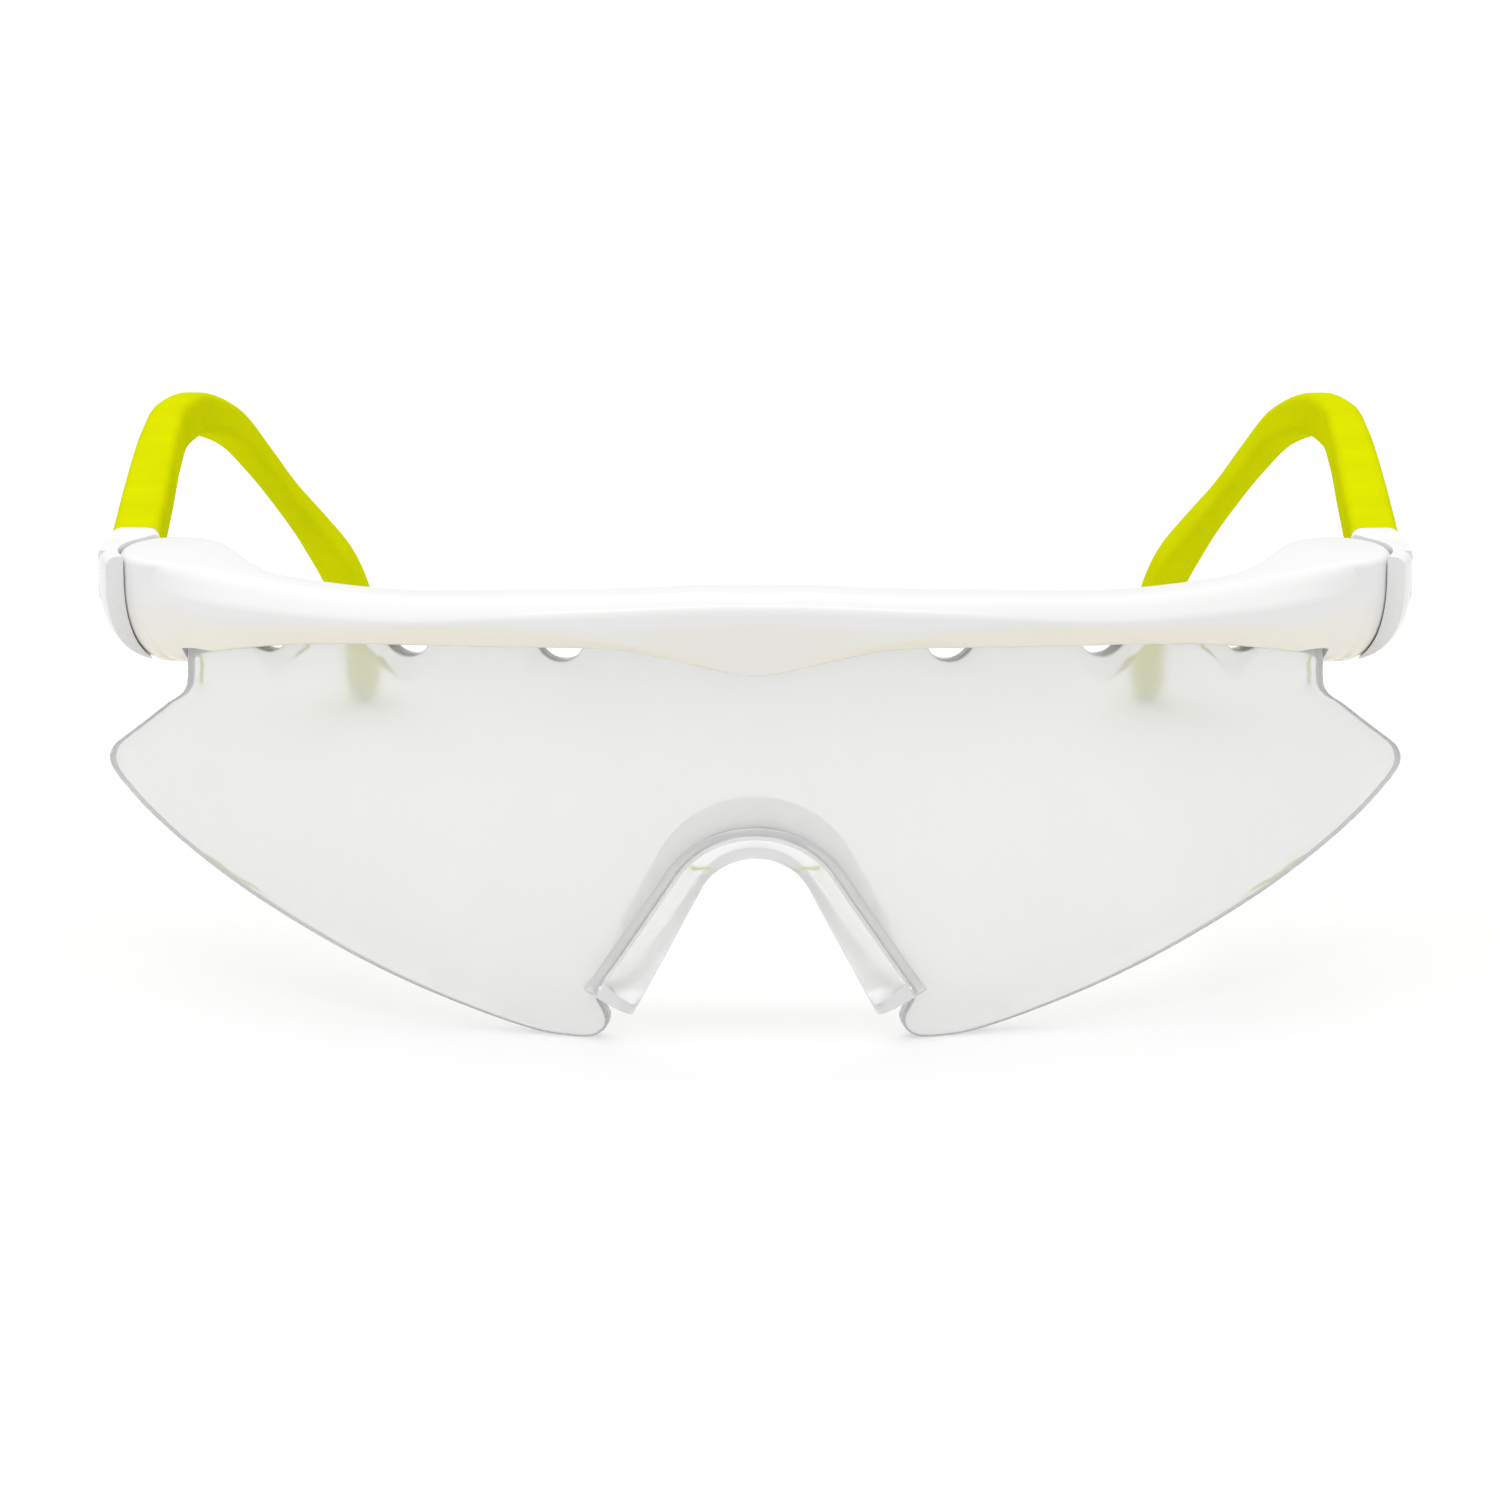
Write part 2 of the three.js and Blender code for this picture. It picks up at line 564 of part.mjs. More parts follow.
const WHITE = 0xf4f4f2;
const LIME = 0xd6e000;
const STEEL = 0xb8babc;
const BRASS = 0xc2a15a;

const goggles = new THREE.Group();
goggles.position.y = -CENTRE_BACK;

function place(name, shape, material) {
  const mesh = new THREE.Mesh(geometryOf(shape), material);
  mesh.name = name;
  goggles.add(mesh);
}

place('browbar', browbar(), gloss(WHITE));
place('lens', lens(), clear(0xf2f4f2, 0.05));
place('nose_pad', nosePad(), clear(0xe8eaea, 0.3));
for (const [name, side] of [['left', -1], ['right', 1]]) {
  place(`${name}_hinge_end`, hingeEnd(side), gloss(WHITE));
  place(`${name}_temple_sleeve`, templeSleeve(side), rubber(LIME));
  place(`${name}_core_wire`, wire(side, 0), metal(STEEL));
  place(`${name}_hinge_screw`, hingeScrew(side), metal(STEEL));
  place(`${name}_screw_insert`, screwInsert(side), metal(BRASS));
}

export default goggles;
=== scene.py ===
import json
import math

import bmesh
import bpy
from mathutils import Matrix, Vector
from mathutils.geometry import delaunay_2d_cdt


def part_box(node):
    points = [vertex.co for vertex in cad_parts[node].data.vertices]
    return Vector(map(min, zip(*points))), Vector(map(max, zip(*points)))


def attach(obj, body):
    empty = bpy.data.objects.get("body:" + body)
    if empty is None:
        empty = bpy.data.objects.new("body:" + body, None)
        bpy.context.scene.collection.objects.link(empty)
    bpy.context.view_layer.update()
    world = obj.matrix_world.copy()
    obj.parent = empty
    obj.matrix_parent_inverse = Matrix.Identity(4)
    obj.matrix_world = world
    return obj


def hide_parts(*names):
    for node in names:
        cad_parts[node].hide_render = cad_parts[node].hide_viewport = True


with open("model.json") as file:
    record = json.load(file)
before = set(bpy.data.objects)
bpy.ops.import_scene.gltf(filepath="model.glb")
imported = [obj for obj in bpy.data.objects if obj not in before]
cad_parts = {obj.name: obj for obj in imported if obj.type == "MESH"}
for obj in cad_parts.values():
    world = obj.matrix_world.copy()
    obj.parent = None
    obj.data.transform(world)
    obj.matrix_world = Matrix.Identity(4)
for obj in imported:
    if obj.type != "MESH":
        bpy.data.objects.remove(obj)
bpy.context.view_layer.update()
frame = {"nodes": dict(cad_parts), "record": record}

# ---- Places taken from the frame -----------------------------------------------------------------
# Shapes are worked out in millimetres: x out, y back from the lens' foremost point, z up.

MM = 0.001
LEFT, RIGHT = -1, 1  # seen from the front
GAP = 0.3  # between separate pieces
CLOSE_GAP = 0.14  # between the end of the bar and the shell round it
BAR_LOW, BAR_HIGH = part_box("browbar")
SLEEVE_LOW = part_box("right_temple_sleeve")[0]
JOINTS = {joint["name"]: joint for joint in frame["record"]["behaviour"]["joints"]}
HINGE = Vector(JOINTS["right_temple_fold"]["pos_m"])
HINGE_X = HINGE.x / MM
HINGE_Y = 34.0
FRONT_Y = HINGE.y - HINGE_Y * MM
BAR_CREST = BAR_HIGH.z / MM
END_BOTTOM = BAR_LOW.z / MM
ARM_START = (SLEEVE_LOW.y - FRONT_Y) / MM + GAP  # one gap behind the white hinge end

# ---- Driving dimensions, in millimetres ------------------------------------------------------------

LENS_PLAN_RADIUS = 96.0
LENS_UPRIGHT_RADIUS = 120.0
LENS_FULLEST = 33.0
LENS_THICKNESS = 2.2
LENS_EDGE_ROUND = 0.3
LENS_MESH_STEP = 2.4
LENS_EDGE_X = 65.9
LENS_TOP = [(0, 49.8), (25, 49.8), (45, 48), (58, 45), (66, 41.6)]
LENS_NOSE_CORNER = [(-17.9, 5.2), (-17.2, 3.8), (-16.85, 2.5), (-17.3, 1.2), (-18.6, 0.25), (-20.6, 0.0)]
LENS_LOWER_EDGE = [
    (-20.6, 0), (-24.7, 0.3), (-34, 2.8), (-43.3, 5.9),
    (-52.8, 9.7), (-62.5, 14.1), (-71.6, 19.2), (-75.2, 21.9),
]
LENS_WING_TIP = [(-75.2, 21.9), (-76.35, 23.2), (-76.55, 24.3), (-75.9, 26), (-74.6, 27.5)]
LENS_WING_SLOPE = [(-74.6, 27.5), (-68.6, 33.6)]
LENS_STEP = [(-68.6, 33.6), (-66.8, 35.2), (-66.1, 36.4), (-LENS_EDGE_X, 37.8)]
PAINTED_RIM_SHADE_TOP = 41.0  # below this height the rim has the painted shade of lens_rim; above it, in the vents, it is clear
TOP_EDGE_STEP = 1.2
VENT_RADIUS = 2.7
VENTS = [(21.9, 48.3), (39.4, 47.4), (56.2, 45.4)]

NOSE_ARCH_RADIUS = 10.5
NOSE_ARCH_CENTRE = 15.6
NOSE_LEG_SLOPE = math.radians(58.2)
NOSE_LEG_FOOT = 6.2
PAD_REACH = (2.7, 5.0)  # wall of the pad into the opening, at the arch and at the feet
PAD_FLARE = (3.3, 2.0)  # rear edge of the pad away from the nose
PAD_DEPTH = (6.0, 8.4)  # rear edge of the pad back from the lens front

BAR_FRONT_RADIUS = 98.2
BAR_BACK_RADIUS = 90.2
BAR_TOP_EDGE = [(0, 54.5), (5, 54.4), (12, 53.9), (28, 52.8), (44, 51.3), (58, 50.8), (70, 50.8)]
BAR_CREASE = [(0, 53), (5, 52.9), (12, 52.5), (28, 51.1), (40, 49.6), (50, 48.8), (70, 47.2)]
BAR_CHIN_EDGE = [(0, 45.6), (10.5, 47.9), (18, 49.1), (29, 49.6), (44, 47.9), (55, 46.4), (70, 43)]
BAR_LOWER_EDGE = [
    (0, 44.9), (7, 46.1), (14.5, 47.5), (22, 47.5), (38, 46.4), (50, 45), (61, 42.3), (70, 38.4),
]
BAR_CHIN_SETBACK = 1.6
BAR_SECTIONS = 170
BEAK_HALF_WIDTH = 20
END_WIDENS_FROM = 0.76  # part of the way from the middle of the bar to a hinge
END_ROUNDS_FROM = 0.89

HINGE_REACH = math.hypot(HINGE_X, LENS_PLAN_RADIUS - HINGE_Y)
END_TOP = 50.8
END_SHOULDER = 47.0
BARREL_FOOT = (2.9, (6.4, 40.3))
SHELL_FOOT = (3.4, (8.9, 39.8))
BARREL_RADIUS = 6.6
SHELL_RADIUS = 9.0
FORK_LOW = 41.2
FORK_HIGH = 48.0
KNUCKLE_RADIUS = 4.3
SCREW_RADIUS = 0.85
SCREW_HEAD_RADIUS = 1.6
SCREW_HEAD_TOP = 39.4
SCREW_TOP = 49.7
FORK_OPEN = (-12, 176)  # degrees from straight outwards, growing towards the back
SHELL_SPAN = (-30, 64)
WEB_SPAN = (26, 63.5)
CUT_LOW, CUT_HIGH = 30, 60  # heights clear of the bar and the hinges, for the blocks that cut them

ARM_X = 73.0
ARM_Z = 48.2
ARM_WIDTH = 5.7
ARM_HEIGHT = 6.2
ARM_CORNER = 1.5
SPIGOT_WIDTH = 2.6
SPIGOT_HEIGHT = 3.8
SPIGOT_END = 60.0
TIP_START = 0.972  # part of the way along the arm where its tip starts to round off
TIP_CLOSE = 1.003  # where the round would close
TIP_LEAST = 0.18
ARM_WIDTHS = [
    (0, ARM_WIDTH), (0.1, 5.5), (0.2, 4.9), (0.45, 4), (0.62, 3.3), (0.7, 3.7), (0.8, 4.7), (1, 4.7),
]
ARM_HEIGHTS = [(0, ARM_HEIGHT), (0.22, 6.2), (0.45, 5), (0.62, 4.5), (0.85, 5.4), (1, 5)]
ARM_PATH = [
    (ARM_X, 42.3, ARM_Z), (74.1, 72, 48.3), (74.8, 95, 48.3), (74.5, 108, 48.3), (72.2, 117, 47.6),
    (68.6, 122.4, 44.6), (65.4, 127.4, 39.2), (62.1, 131.6, 33.2), (58.7, 135.2, 27.4), (55.5, 139.2, 20.8),
    (53.7, 144.4, 12.4), (53.9, 151.2, 0.7),
]

# ---- Look and camera, in metres and degrees ----------------------------------------------------------

WHITE = (0.825, 0.825, 0.82)
CAMERA_PLACE = (0.0, -0.7444, 0.2307)
CAMERA_DOWN = 16.196
CAMERA_TURN = 0.0506
CAMERA_FOCAL_MM = 149.5
CAMERA_SENSOR_MM = 36

# ---- Helpers: curves and outlines ------------------------------------------------------------------


def part_point(x, y, z):
    """A point in millimetres from the lens' foremost point, in the frame's own metres."""
    return Vector((x * MM, FRONT_Y + y * MM, z * MM))


def spread(first, last, count):
    """Evenly spaced numbers from first to last."""
    return [first + (last - first) * i / count for i in range(count + 1)]


def mix(a, b, t):
    return a + (b - a) * t


def smoothstep(x, low, high):
    t = min(max((x - low) / (high - low), 0.0), 1.0)
    return t * t * (3 - 2 * t)


def even_curve(pairs):
    """Smooth curve through (distance, value) pairs, the same on both sides of zero."""
    last = len(pairs) - 1

    def slope(i):
        if i == 0:
            return 0.0
        (x0, v0), (x1, v1) = pairs[i - 1], pairs[min(i + 1, last)]
        return (v1 - v0) / (x1 - x0)

    def value(x):
        far = min(abs(x), pairs[last][0])
        i = 0
        while i < last - 1 and far > pairs[i + 1][0]:
            i += 1
        width = pairs[i + 1][0] - pairs[i][0]
        t = (far - pairs[i][0]) / width
        rise = pairs[i + 1][1] - pairs[i][1]
        lean = slope(i) * (1 - t) - slope(i + 1) * t
        return pairs[i][1] + rise * t * t * (3 - 2 * t) + width * t * (1 - t) * lean

    return value


def path_point(points, t):
    """Catmull-Rom curve through points with centripetal spacing: place and direction at t from 0 to 1."""
    count = len(points) - 1
    i = min(int(t * count), count - 1)
    w = t * count - i
    p1, p2 = points[i], points[i + 1]
    p0 = points[i - 1] if i > 0 else p1 * 2 - p2
    p3 = points[i + 2] if i + 2 <= count else p2 * 2 - p1
    d0, d1, d2 = [max((b - a).length, 1e-4) ** 0.5 for a, b in ((p0, p1), (p1, p2), (p2, p3))]
    m1 = ((p1 - p0) / d0 - (p2 - p0) / (d0 + d1) + (p2 - p1) / d1) * d1
    m2 = ((p2 - p1) / d1 - (p3 - p1) / (d1 + d2) + (p3 - p2) / d2) * d1
    c2 = (p2 - p1) * 3 - m1 * 2 - m2
    c3 = (p1 - p2) * 2 + m1 + m2
    place = p1 + m1 * w + c2 * w * w + c3 * w * w * w
    return place, (m1 + c2 * 2 * w + c3 * 3 * w * w).normalized()


def rounded(corners, radii, steps=5):
    """Closed outline with each corner turned into a smooth round of about its radius."""
    points = []
    count = len(corners)
    for i, (corner, radius) in enumerate(zip(corners, radii)):
        here = Vector(corner)
        before = Vector(corners[i - 1]) - here
        after = Vector(corners[(i + 1) % count]) - here
        start = here + before.normalized() * min(radius, before.length * 0.48)
        end = here + after.normalized() * min(radius, after.length * 0.48)
        for t in spread(0, 1, steps):
            points.append(start * (1 - t) ** 2 + here * 2 * t * (1 - t) + end * t * t)
    return points


def rounded_box(width, height, radius, steps=6):
    """Rounded rectangle about the origin, counter-clockwise."""
    x, y = width / 2, height / 2
    return rounded([(x, -y), (x, y), (-x, y), (-x, -y)], [radius] * 4, steps)


# ---- Helpers: meshes -------------------------------------------------------------------------------
# Blocks that are joined or cut pass each other by 0.001 to 0.05 mm, so that no two faces coincide.


def new_object(name, points, faces):
    mesh = bpy.data.meshes.new(name)
    mesh.from_pydata(points, [], faces)
    mesh.validate()
    piece = bpy.data.objects.new(name, mesh)
    bpy.context.scene.collection.objects.link(piece)
    return piece


def fix_normals(piece):
    """Faces pointing out, doubles merged."""
    work = bmesh.new()
    work.from_mesh(piece.data)
    bmesh.ops.remove_doubles(work, verts=work.verts, dist=1e-6)
    bmesh.ops.dissolve_degenerate(work, edges=work.edges, dist=2e-6)
    bmesh.ops.recalc_face_normals(work, faces=work.faces)
    if work.calc_volume(signed=True) < 0:
        bmesh.ops.reverse_faces(work, faces=work.faces)
    work.to_mesh(piece.data)
    work.free()


def skin(name, rings):
    """Closed piece skinned through rings of points, with a cap at each end."""
    count = len(rings[0])
    faces = []
    for i in range(len(rings) - 1):
        for j in range(count):
            k = (j + 1) % count
            faces.append((i * count + j, i * count + k, (i + 1) * count + k, (i + 1) * count + j))
    faces.append(tuple(reversed(range(count))))
    last = (len(rings) - 1) * count
    faces.append(tuple(last + j for j in range(count)))
    piece = new_object(name, [p for ring in rings for p in ring], faces)
    fix_normals(piece)
    return piece


def turned(name, profile, x, y, segments=96):
    """Closed piece turned about an upright axis, from (radius, height) points that start and end on it."""
    rows = []
    for radius, height in profile:
        if radius < 1e-6:
            rows.append([part_point(x, y, height)])
            continue
        angles = spread(0, 2 * math.pi, segments)[:-1]
        rows.append([part_point(x + radius * math.cos(a), y + radius * math.sin(a), height) for a in angles])
    return stitched(name, rows, segments)


def stitched(name, rows, segments):
    """Faces between rows of points round an axis; a row of one point is a pole."""
    points, starts, faces = [], [], []
    for row in rows:
        starts.append(len(points))
        points.extend(row)
    for (low, a), (high, b) in zip(zip(starts, rows), zip(starts[1:], rows[1:])):
        for j in range(segments):
            k = (j + 1) % segments
            quad = [low + (j if len(a) > 1 else 0), low + (k if len(a) > 1 else 0)]
            quad += [high + (k if len(b) > 1 else 0), high + (j if len(b) > 1 else 0)]
            face = list(dict.fromkeys(quad))
            if len(face) > 2:
                faces.append(tuple(face))
    piece = new_object(name, points, faces)
    fix_normals(piece)
    return piece


def prism(name, outline, place, low, high):
    """Outline of 2D points pushed between two depths; place turns (a, b, depth) into a point."""
    rings = [[place(a, b, depth) for a, b in outline] for depth in (low, high)]
    return skin(name, rings)


def mirror_halves(piece):
    """Right half remade as the mirror image of the left half."""
    work = bmesh.new()
    work.from_mesh(piece.data)
    everything = work.verts[:] + work.edges[:] + work.faces[:]
    bmesh.ops.symmetrize(work, input=everything, direction="-X", dist=1e-6)
    work.to_mesh(piece.data)
    work.free()


def mirrored(piece):
    """Mesh turned into its mirror image, for the other side."""
    for vertex in piece.data.vertices:
        vertex.co.x = -vertex.co.x
    piece.data.flip_normals()


def apply_modifiers(piece):
    """Mesh replaced by what its modifiers make of it."""
    bpy.context.view_layer.update()
    result = bpy.data.meshes.new_from_object(piece.evaluated_get(bpy.context.evaluated_depsgraph_get()))
    piece.modifiers.clear()
    old = piece.data
    piece.data = result
    bpy.data.meshes.remove(old)


def combine(piece, other, operation):
    """Boolean of piece with other, which is used up."""
    step = piece.modifiers.new("cut", "BOOLEAN")
    step.operation = operation
    step.solver = "EXACT"
    step.object = other
    apply_modifiers(piece)
    bpy.data.objects.remove(other, do_unlink=True)


def soften(piece, width, angle=32, segments=2):
    """Small round on every crisp edge, applied to the mesh."""
    step = piece.modifiers.new("round", "BEVEL")
    step.width = width * MM
    step.segments = segments
    step.limit_method = "ANGLE"
    step.angle_limit = math.radians(angle)
    step.use_clamp_overlap = True
    step.harden_normals = False
    apply_modifiers(piece)


def only_material(piece, material):
    """The one material of a piece."""
    piece.data.materials.clear()
    piece.data.materials.append(material)


def finish_mesh(piece, sharp=40):
    """Smooth shading, kept crisp where the surface turns by more than sharp degrees."""
    piece.data.shade_smooth()
    piece.data.set_sharp_from_angle(angle=math.radians(sharp))


# ---- Camera, floor and light -------------------------------------------------------------------------


def camera():
    data = bpy.data.cameras.new("camera")
    data.sensor_width = CAMERA_SENSOR_MM
    data.lens = CAMERA_FOCAL_MM
    data.clip_start = 0.01
    eye = bpy.data.objects.new("camera", data)
    eye.location = CAMERA_PLACE
    eye.rotation_euler = (math.radians(90 - CAMERA_DOWN), 0, math.radians(CAMERA_TURN))
    bpy.context.scene.collection.objects.link(eye)
    bpy.context.scene.camera = eye


def floor():
    half = 4.0
    corners = [(-half, -half, 0), (half, -half, 0), (half, half, 0), (-half, half, 0)]
    piece = new_object("floor", corners, [(0, 1, 2, 3)])
    material, tree, shader = new_material("studio_floor")
    shader.inputs["Roughness"].default_value = 0.9
    shader.inputs["Specular IOR Level"].default_value = 0.1
    grain(tree, shader, scale=3.0, dark=(0.86, 0.86, 0.86), light=(0.88, 0.88, 0.88))
    piece.data.materials.append(material)


def area_light(name, place, aim, size, power):
    data = bpy.data.lights.new(name, "AREA")
    data.shape = "RECTANGLE"
    data.size, data.size_y = size
    data.energy = power
    lamp = bpy.data.objects.new(name, data)
    lamp.location = place
    direction = Vector(aim) - Vector(place)
    lamp.rotation_euler = direction.to_track_quat("-Z", "Y").to_euler()
    bpy.context.scene.collection.objects.link(lamp)
    return lamp


def light():
    overhead = area_light("overhead", (-0.15, 0.2, 1.7), (0, 0.2, 0), (2.0, 2.0), 21.5)
    overhead.visible_glossy = False
    area_light("strip", (0.0, -0.35, 1.3), (0, -0.07, 0.05), (1.4, 0.12), 1.3)
    world = bpy.data.worlds.new("studio")
    world.use_nodes = True
    background = world.node_tree.nodes["Background"]
    background.inputs["Color"].default_value = (1, 1, 1, 1)
    background.inputs["Strength"].default_value = 0.72
    bpy.context.scene.world = world
    bpy.context.scene.view_settings.view_transform = "Standard"


# ---- Materials ---------------------------------------------------------------------------------------


def new_material(name):
    material = bpy.data.materials.new(name)
    material.use_nodes = True
    tree = material.node_tree
    return material, tree, tree.nodes["Principled BSDF"]


def node(tree, kind, **inputs):
    made = tree.nodes.new(kind)
    for key, value in inputs.items():
        made.inputs[key.replace("_", " ")].default_value = value
    return made


def object_noise(tree, scale, detail=3.0, roughness=0.5):
    """Noise fixed to the object, with scale counted per metre."""
    place = tree.nodes.new("ShaderNodeTexCoord")
    noise = node(tree, "ShaderNodeTexNoise", Scale=scale, Detail=detail, Roughness=roughness)
    tree.links.new(place.outputs["Object"], noise.inputs["Vector"])
    return noise


def ramp(tree, source, low, high):
    """Map a 0..1 factor onto a range of values or colours."""
    made = tree.nodes.new("ShaderNodeValToRGB")
    made.color_ramp.elements[0].position = 0.3
    made.color_ramp.elements[1].position = 0.7
    for element, value in zip(made.color_ramp.elements, (low, high)):
        element.color = (*value, 1) if hasattr(value, "__len__") else (value, value, value, 1)
    tree.links.new(source, made.inputs["Fac"])
    return made


def blended(tree, factor, first, second):
    """Colour that goes from first to second as factor goes from 0 to 1."""
    made = tree.nodes.new("ShaderNodeMix")
    made.data_type = "RGBA"
    tree.links.new(factor, made.inputs["Factor"])
    tree.links.new(first.outputs["Color"], made.inputs["A"])
    tree.links.new(second.outputs["Color"], made.inputs["B"])
    return made.outputs["Result"]


def clear_to_lamps(tree, shader):
    """Lets lamp light straight through, so that clear plastic casts hardly any shadow."""
    rays = tree.nodes.new("ShaderNodeLightPath")
    passing = node(tree, "ShaderNodeBsdfTransparent", Color=(0.93, 0.93, 0.93, 1))
    choice = tree.nodes.new("ShaderNodeMixShader")
    tree.links.new(rays.outputs["Is Shadow Ray"], choice.inputs[0])
    tree.links.new(shader.outputs["BSDF"], choice.inputs[1])
    tree.links.new(passing.outputs["BSDF"], choice.inputs[2])
    tree.links.new(choice.outputs["Shader"], tree.nodes["Material Output"].inputs["Surface"])


def grain(tree, shader, scale, dark, light):
    """Slight change of colour over the surface."""
    noise = object_noise(tree, scale)
    colours = ramp(tree, noise.outputs["Fac"], dark, light)
    tree.links.new(colours.outputs["Color"], shader.inputs["Base Color"])


def roughness_noise(tree, shader, scale, low, high):
    noise = object_noise(tree, scale, 5.0, 0.6)
    levels = ramp(tree, noise.outputs["Fac"], low, high)
    tree.links.new(levels.outputs["Color"], shader.inputs["Roughness"])


def bump(tree, shader, height, strength, distance):
    """Fine relief of a given depth in millimetres."""
    made = node(tree, "ShaderNodeBump", Strength=strength, Distance=distance * MM)
    tree.links.new(height, made.inputs["Height"])
    tree.links.new(made.outputs["Normal"], shader.inputs["Normal"])


def white_plastic(name, tint, gloss):
    """Glossy off-white plastic, with painted shade: a warmer, slightly darker colour where it faces down."""
    material, tree, shader = new_material(name)
    upper = ramp(tree, object_noise(tree, 60.0).outputs["Fac"], [c * 0.985 for c in tint], tint)
    # Painted shade: faces that turn downwards get a warmer, darker copy of the colour, standing in for the
    # shade they lie in.
    painted_shade_tint = (tint[0], tint[1] * 0.95, tint[2] * 0.81)
    lower = ramp(tree, object_noise(tree, 60.0).outputs["Fac"], [c * 0.985 for c in painted_shade_tint], painted_shade_tint)
    # Mask of the painted shade: the object-space normal, from pointing down to level.
    facing = tree.nodes.new("ShaderNodeTexCoord")
    parts = tree.nodes.new("ShaderNodeSeparateXYZ")
    tree.links.new(facing.outputs["Normal"], parts.inputs["Vector"])
    painted_shade_mask = tree.nodes.new("ShaderNodeMapRange")
    painted_shade_mask.inputs["From Min"].default_value = -0.65
    painted_shade_mask.inputs["From Max"].default_value = -0.05
    tree.links.new(parts.outputs["Z"], painted_shade_mask.inputs["Value"])
    colour = blended(tree, painted_shade_mask.outputs["Result"], lower, upper)
    tree.links.new(colour, shader.inputs["Base Color"])
    roughness_noise(tree, shader, 180.0, gloss, gloss + 0.07)
    shader.inputs["IOR"].default_value = 1.5
    shader.inputs["Coat Weight"].default_value = 0.35
    shader.inputs["Coat Roughness"].default_value = 0.08
    bump(tree, shader, object_noise(tree, 900.0, 2.0).outputs["Fac"], 0.12, 0.05)
    return material


def clear_polycarbonate():
    material, tree, shader = new_material("clear_polycarbonate")
    grain(tree, shader, 25.0, (0.925, 0.925, 0.92), (0.945, 0.945, 0.94))
    roughness_noise(tree, shader, 400.0, 0.04, 0.08)
    shader.inputs["Transmission Weight"].default_value = 0.62
    shader.inputs["IOR"].default_value = 1.586
    bump(tree, shader, object_noise(tree, 30.0, 1.0).outputs["Fac"], 0.05, 0.05)
    clear_to_lamps(tree, shader)
    return material


def lens_rim():
    """Cut edge of the lens, matt, and painted dimmer than its faces: its grey is painted shade for the dark
    outline of the clear edge.
    """
    material, tree, shader = new_material("lens_rim")
    # Painted shade: grey colour for the dark outline along the cut edge of the clear lens.
    grain(tree, shader, 300.0, (0.42, 0.43, 0.43), (0.52, 0.53, 0.53))
    roughness_noise(tree, shader, 900.0, 0.2, 0.35)
    shader.inputs["Transmission Weight"].default_value = 0.15
    shader.inputs["IOR"].default_value = 1.586
    bump(tree, shader, object_noise(tree, 1500.0, 2.0).outputs["Fac"], 0.2, 0.04)
    clear_to_lamps(tree, shader)
    return material


def clear_vinyl():
    """Soft clear plastic, with painted shade: greyer where it is seen edge on."""
    material, tree, shader = new_material("clear_vinyl")
    noise = object_noise(tree, 150.0)
    face = ramp(tree, noise.outputs["Fac"], (0.93, 0.935, 0.93), (0.96, 0.965, 0.96))
    # Painted shade: a grey colour laid on where the surface is seen edge on, standing in for the dark
    # outline of the clear pad.
    edge = ramp(tree, noise.outputs["Fac"], (0.60, 0.61, 0.61), (0.70, 0.71, 0.71))
    painted_edge_shade_mask = node(tree, "ShaderNodeLayerWeight", Blend=0.08)
    tree.links.new(blended(tree, painted_edge_shade_mask.outputs["Facing"], face, edge), shader.inputs["Base Color"])
    roughness_noise(tree, shader, 350.0, 0.06, 0.12)
    shader.inputs["Transmission Weight"].default_value = 0.76
    shader.inputs["IOR"].default_value = 1.36
    bump(tree, shader, object_noise(tree, 300.0, 2.0).outputs["Fac"], 0.1, 0.05)
    clear_to_lamps(tree, shader)
    return material


def lime_rubber():
    material, tree, shader = new_material("satin_lime_rubber")
    grain(tree, shader, 120.0, (0.56, 0.60, 0.001), (0.61, 0.645, 0.001))
    roughness_noise(tree, shader, 500.0, 0.42, 0.55)
    shader.inputs["IOR"].default_value = 1.35
    shader.inputs["Specular IOR Level"].default_value = 0.0
    bump(tree, shader, object_noise(tree, 2600.0, 4.0, 0.7).outputs["Fac"], 0.25, 0.06)
    return material


def metal(name, dark, light, low, high):
    """Turned metal, slightly uneven in colour and polish."""
    material, tree, shader = new_material(name)
    grain(tree, shader, 800.0, dark, light)
    roughness_noise(tree, shader, 2000.0, low, high)
    shader.inputs["Metallic"].default_value = 1.0
    bump(tree, shader, object_noise(tree, 6000.0, 2.0).outputs["Fac"], 0.15, 0.02)
    return material


# ---- Lens ----------------------------------------------------------------------------------------------


def lens_radius(height, extra=0.0):
    rise = height - LENS_FULLEST
    return LENS_PLAN_RADIUS - LENS_UPRIGHT_RADIUS + math.sqrt((LENS_UPRIGHT_RADIUS + extra) ** 2 - rise**2)


def on_lens(out, height, depth):
    """Point under the lens' front surface, straight behind (out, height) towards the upright axis."""
    angle = math.asin(out / lens_radius(height))
    radius = lens_radius(height, -depth)
    return part_point(radius * math.sin(angle), LENS_PLAN_RADIUS - radius * math.cos(angle), height)


def nose_edge(arch_steps):
    """Left side of the nose cut-out, from the foot of its leg to the top of the arch."""
    points = []
    for angle in spread(math.pi / 2 + NOSE_LEG_SLOPE, math.pi / 2, arch_steps):
        out, up = NOSE_ARCH_RADIUS * math.cos(angle), NOSE_ARCH_RADIUS * math.sin(angle)
        points.append((out, NOSE_ARCH_CENTRE + up))
    x, height = points[0]
    foot = (x - (height - NOSE_LEG_FOOT) / math.tan(NOSE_LEG_SLOPE), NOSE_LEG_FOOT)
    leg = [(mix(foot[0], x, t), mix(foot[1], height, t)) for t in spread(0, 1, 12)[:-1]]
    return leg + points


